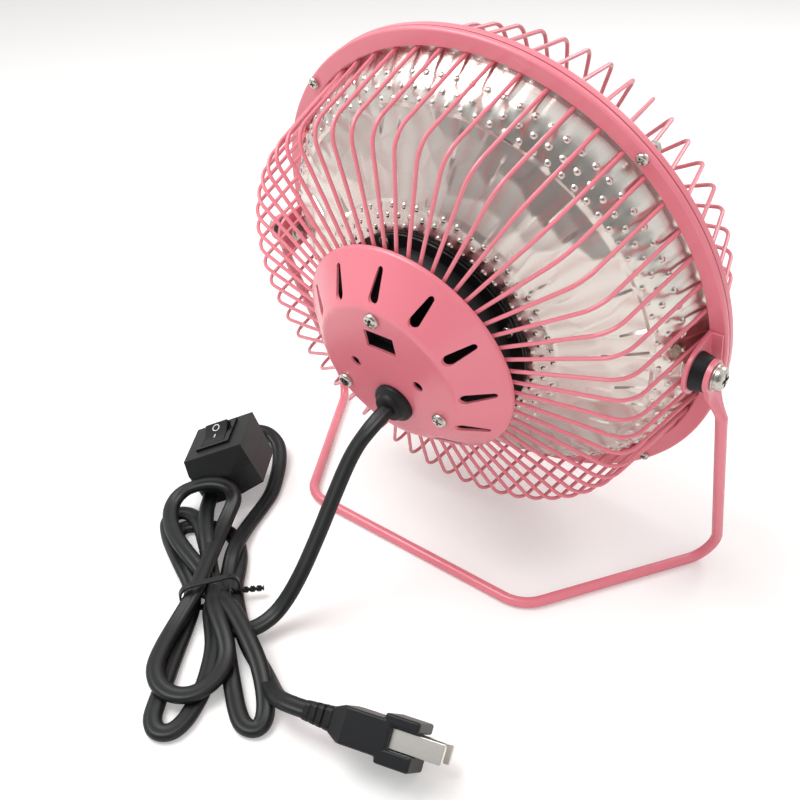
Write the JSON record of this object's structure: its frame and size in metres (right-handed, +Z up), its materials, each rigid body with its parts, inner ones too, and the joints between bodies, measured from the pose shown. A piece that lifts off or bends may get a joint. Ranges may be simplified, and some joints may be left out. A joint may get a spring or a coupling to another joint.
{
  "type": "radiant reflector heater",
  "caption": "Tabletop dish heater: wire-guarded reflector head on screw pivots in a bent-rod stand, with a hub cover, tied cord, in-line rocker switch and flat-blade plug.",
  "frame": {"origin": "on the table under the middle of the heater's own box in plan, measured without the cord and what is on it", "axes": "+X along the tilt pivot, to the right when seen from behind; +Y the way the heater shines; +Z up"},
  "size_m": [0.22, 0.239, 0.2075],
  "materials": {
    "pink_paint": "satin powder-like enamel",
    "polished_aluminium": "polished, dimpled",
    "black_enamel": "satin",
    "bright_steel": "bright plated",
    "black_plastic": "matte",
    "black_gloss_plastic": "gloss",
    "cord_jacket": "matte",
    "ceramic": "opaque fired ceramic",
    "mica": "pressed mica board",
    "resistance_wire": "oxidised wire",
    "terminal_plastic": "natural polyamide",
    "lead_sleeve": "silicone sleeve",
    "blade_metal": "plated brass"
  },
  "bodies": {
    "stand": {"stand_frame": "pink_paint", "cord_hanging": "cord_jacket", "cord_to_switch": "cord_jacket", "cord_from_switch": "cord_jacket", "cord_to_plug": "cord_jacket", "cord_hank": "cord_jacket", "twist_tie": "black_plastic", "switch_upper_shell": "black_plastic", "switch_lower_shell": "black_plastic", "switch_screws": "bright_steel", "switch_bezel": "black_gloss_plastic", "plug_body": "black_plastic", "plug_strain_relief": "black_plastic", "plug_blades": "blade_metal"},
    "head": {"rear_ring": "pink_paint", "front_ring": "pink_paint", "rear_guard": "pink_paint", "front_guard": "pink_paint", "badge_plate": "pink_paint", "ring_screws": "bright_steel", "ring_nuts": "bright_steel", "reflector_dish": "polished_aluminium", "element_can": "black_enamel", "can_screws": "bright_steel", "cover_posts": "bright_steel", "mica_washer": "mica", "ceramic_core": "ceramic", "heating_coil": "resistance_wire", "thermal_cutout": "bright_steel", "terminal_block": "terminal_plastic", "internal_leads": "lead_sleeve", "cutout_blank": "black_plastic", "hub_cover": "pink_paint", "hub_cover_screws": "bright_steel", "cord_gland": "black_plastic", "trunnion_lug_right": "pink_paint", "trunnion_lug_left": "pink_paint", "pivot_spacers": "black_plastic", "pivot_washers": "bright_steel", "pivot_screws": "bright_steel", "pivot_nuts": "bright_steel"},
    "rocker": {"switch_rocker": "black_gloss_plastic"}
  },
  "joints": [
    {"name": "head_tilt", "type": "hinge", "parent": "stand", "child": "head", "pos_m": [0, -0.00585, 0.1064], "axis": [1, 0, 0], "range_deg": [-15, 45], "deforming": ["cord_hanging"]},
    {"name": "rocker_press", "type": "hinge", "parent": "stand", "child": "rocker", "pos_m": [-0.09661, -0.05949, 0.02413], "axis": [0.7626, 0.5144, 0.3923], "range_deg": [-24, 0]}
  ]
}
